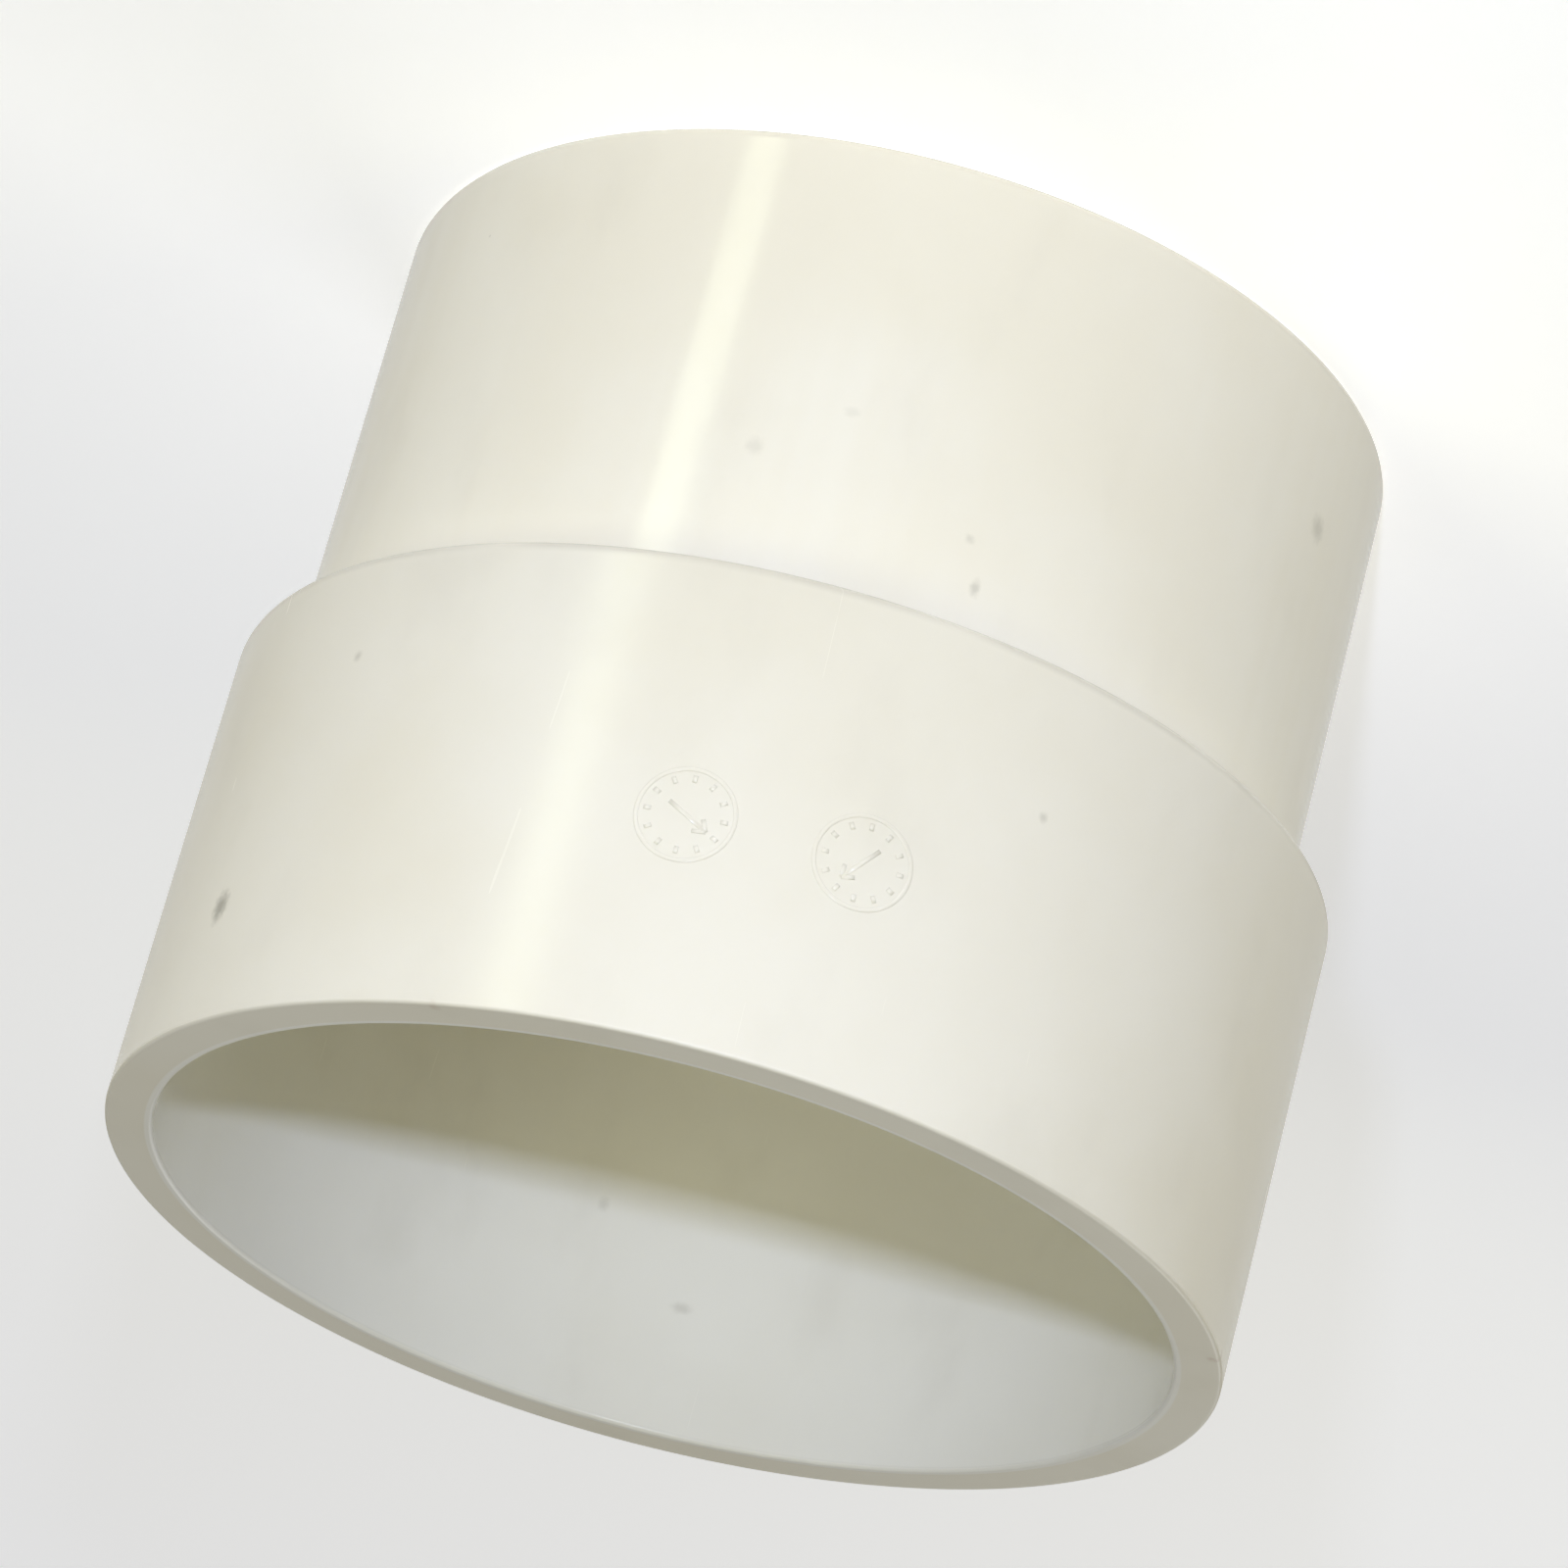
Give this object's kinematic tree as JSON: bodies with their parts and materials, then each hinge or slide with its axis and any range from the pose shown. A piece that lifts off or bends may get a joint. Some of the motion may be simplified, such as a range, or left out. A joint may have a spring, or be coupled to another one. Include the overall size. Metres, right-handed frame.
{
  "type": "pipe cap",
  "caption": "Two-diameter PVC pipe cap: a smooth socket collar takes the pipe end, and a narrower barrel behind it is closed by a flat disc.",
  "frame": {"origin": "centre of the closed end's outer face, which the cap stands on", "axes": "+Z along the common axis of collar and barrel, out of the pipe socket's mouth; X and Y are free, because the cap is round"},
  "size_m": [0.1254, 0.1254, 0.1095],
  "materials": {
    "moulded_pvc": "semi-gloss moulded ivory PVC",
    "tube_pvc": "glossy extruded ivory PVC with faint draw lines",
    "sheet_pvc": "satin pressed ivory PVC sheet",
    "solvent_cement": "clear set solvent cement over PVC",
    "weld_pvc": "hot-gas welded PVC rod"
  },
  "bodies": {
    "root": {"socket_collar": "moulded_pvc", "barrel": "tube_pvc", "end_disc": "sheet_pvc", "collar_cement": "solvent_cement", "disc_weld": "weld_pvc"}
  },
  "joints": []
}
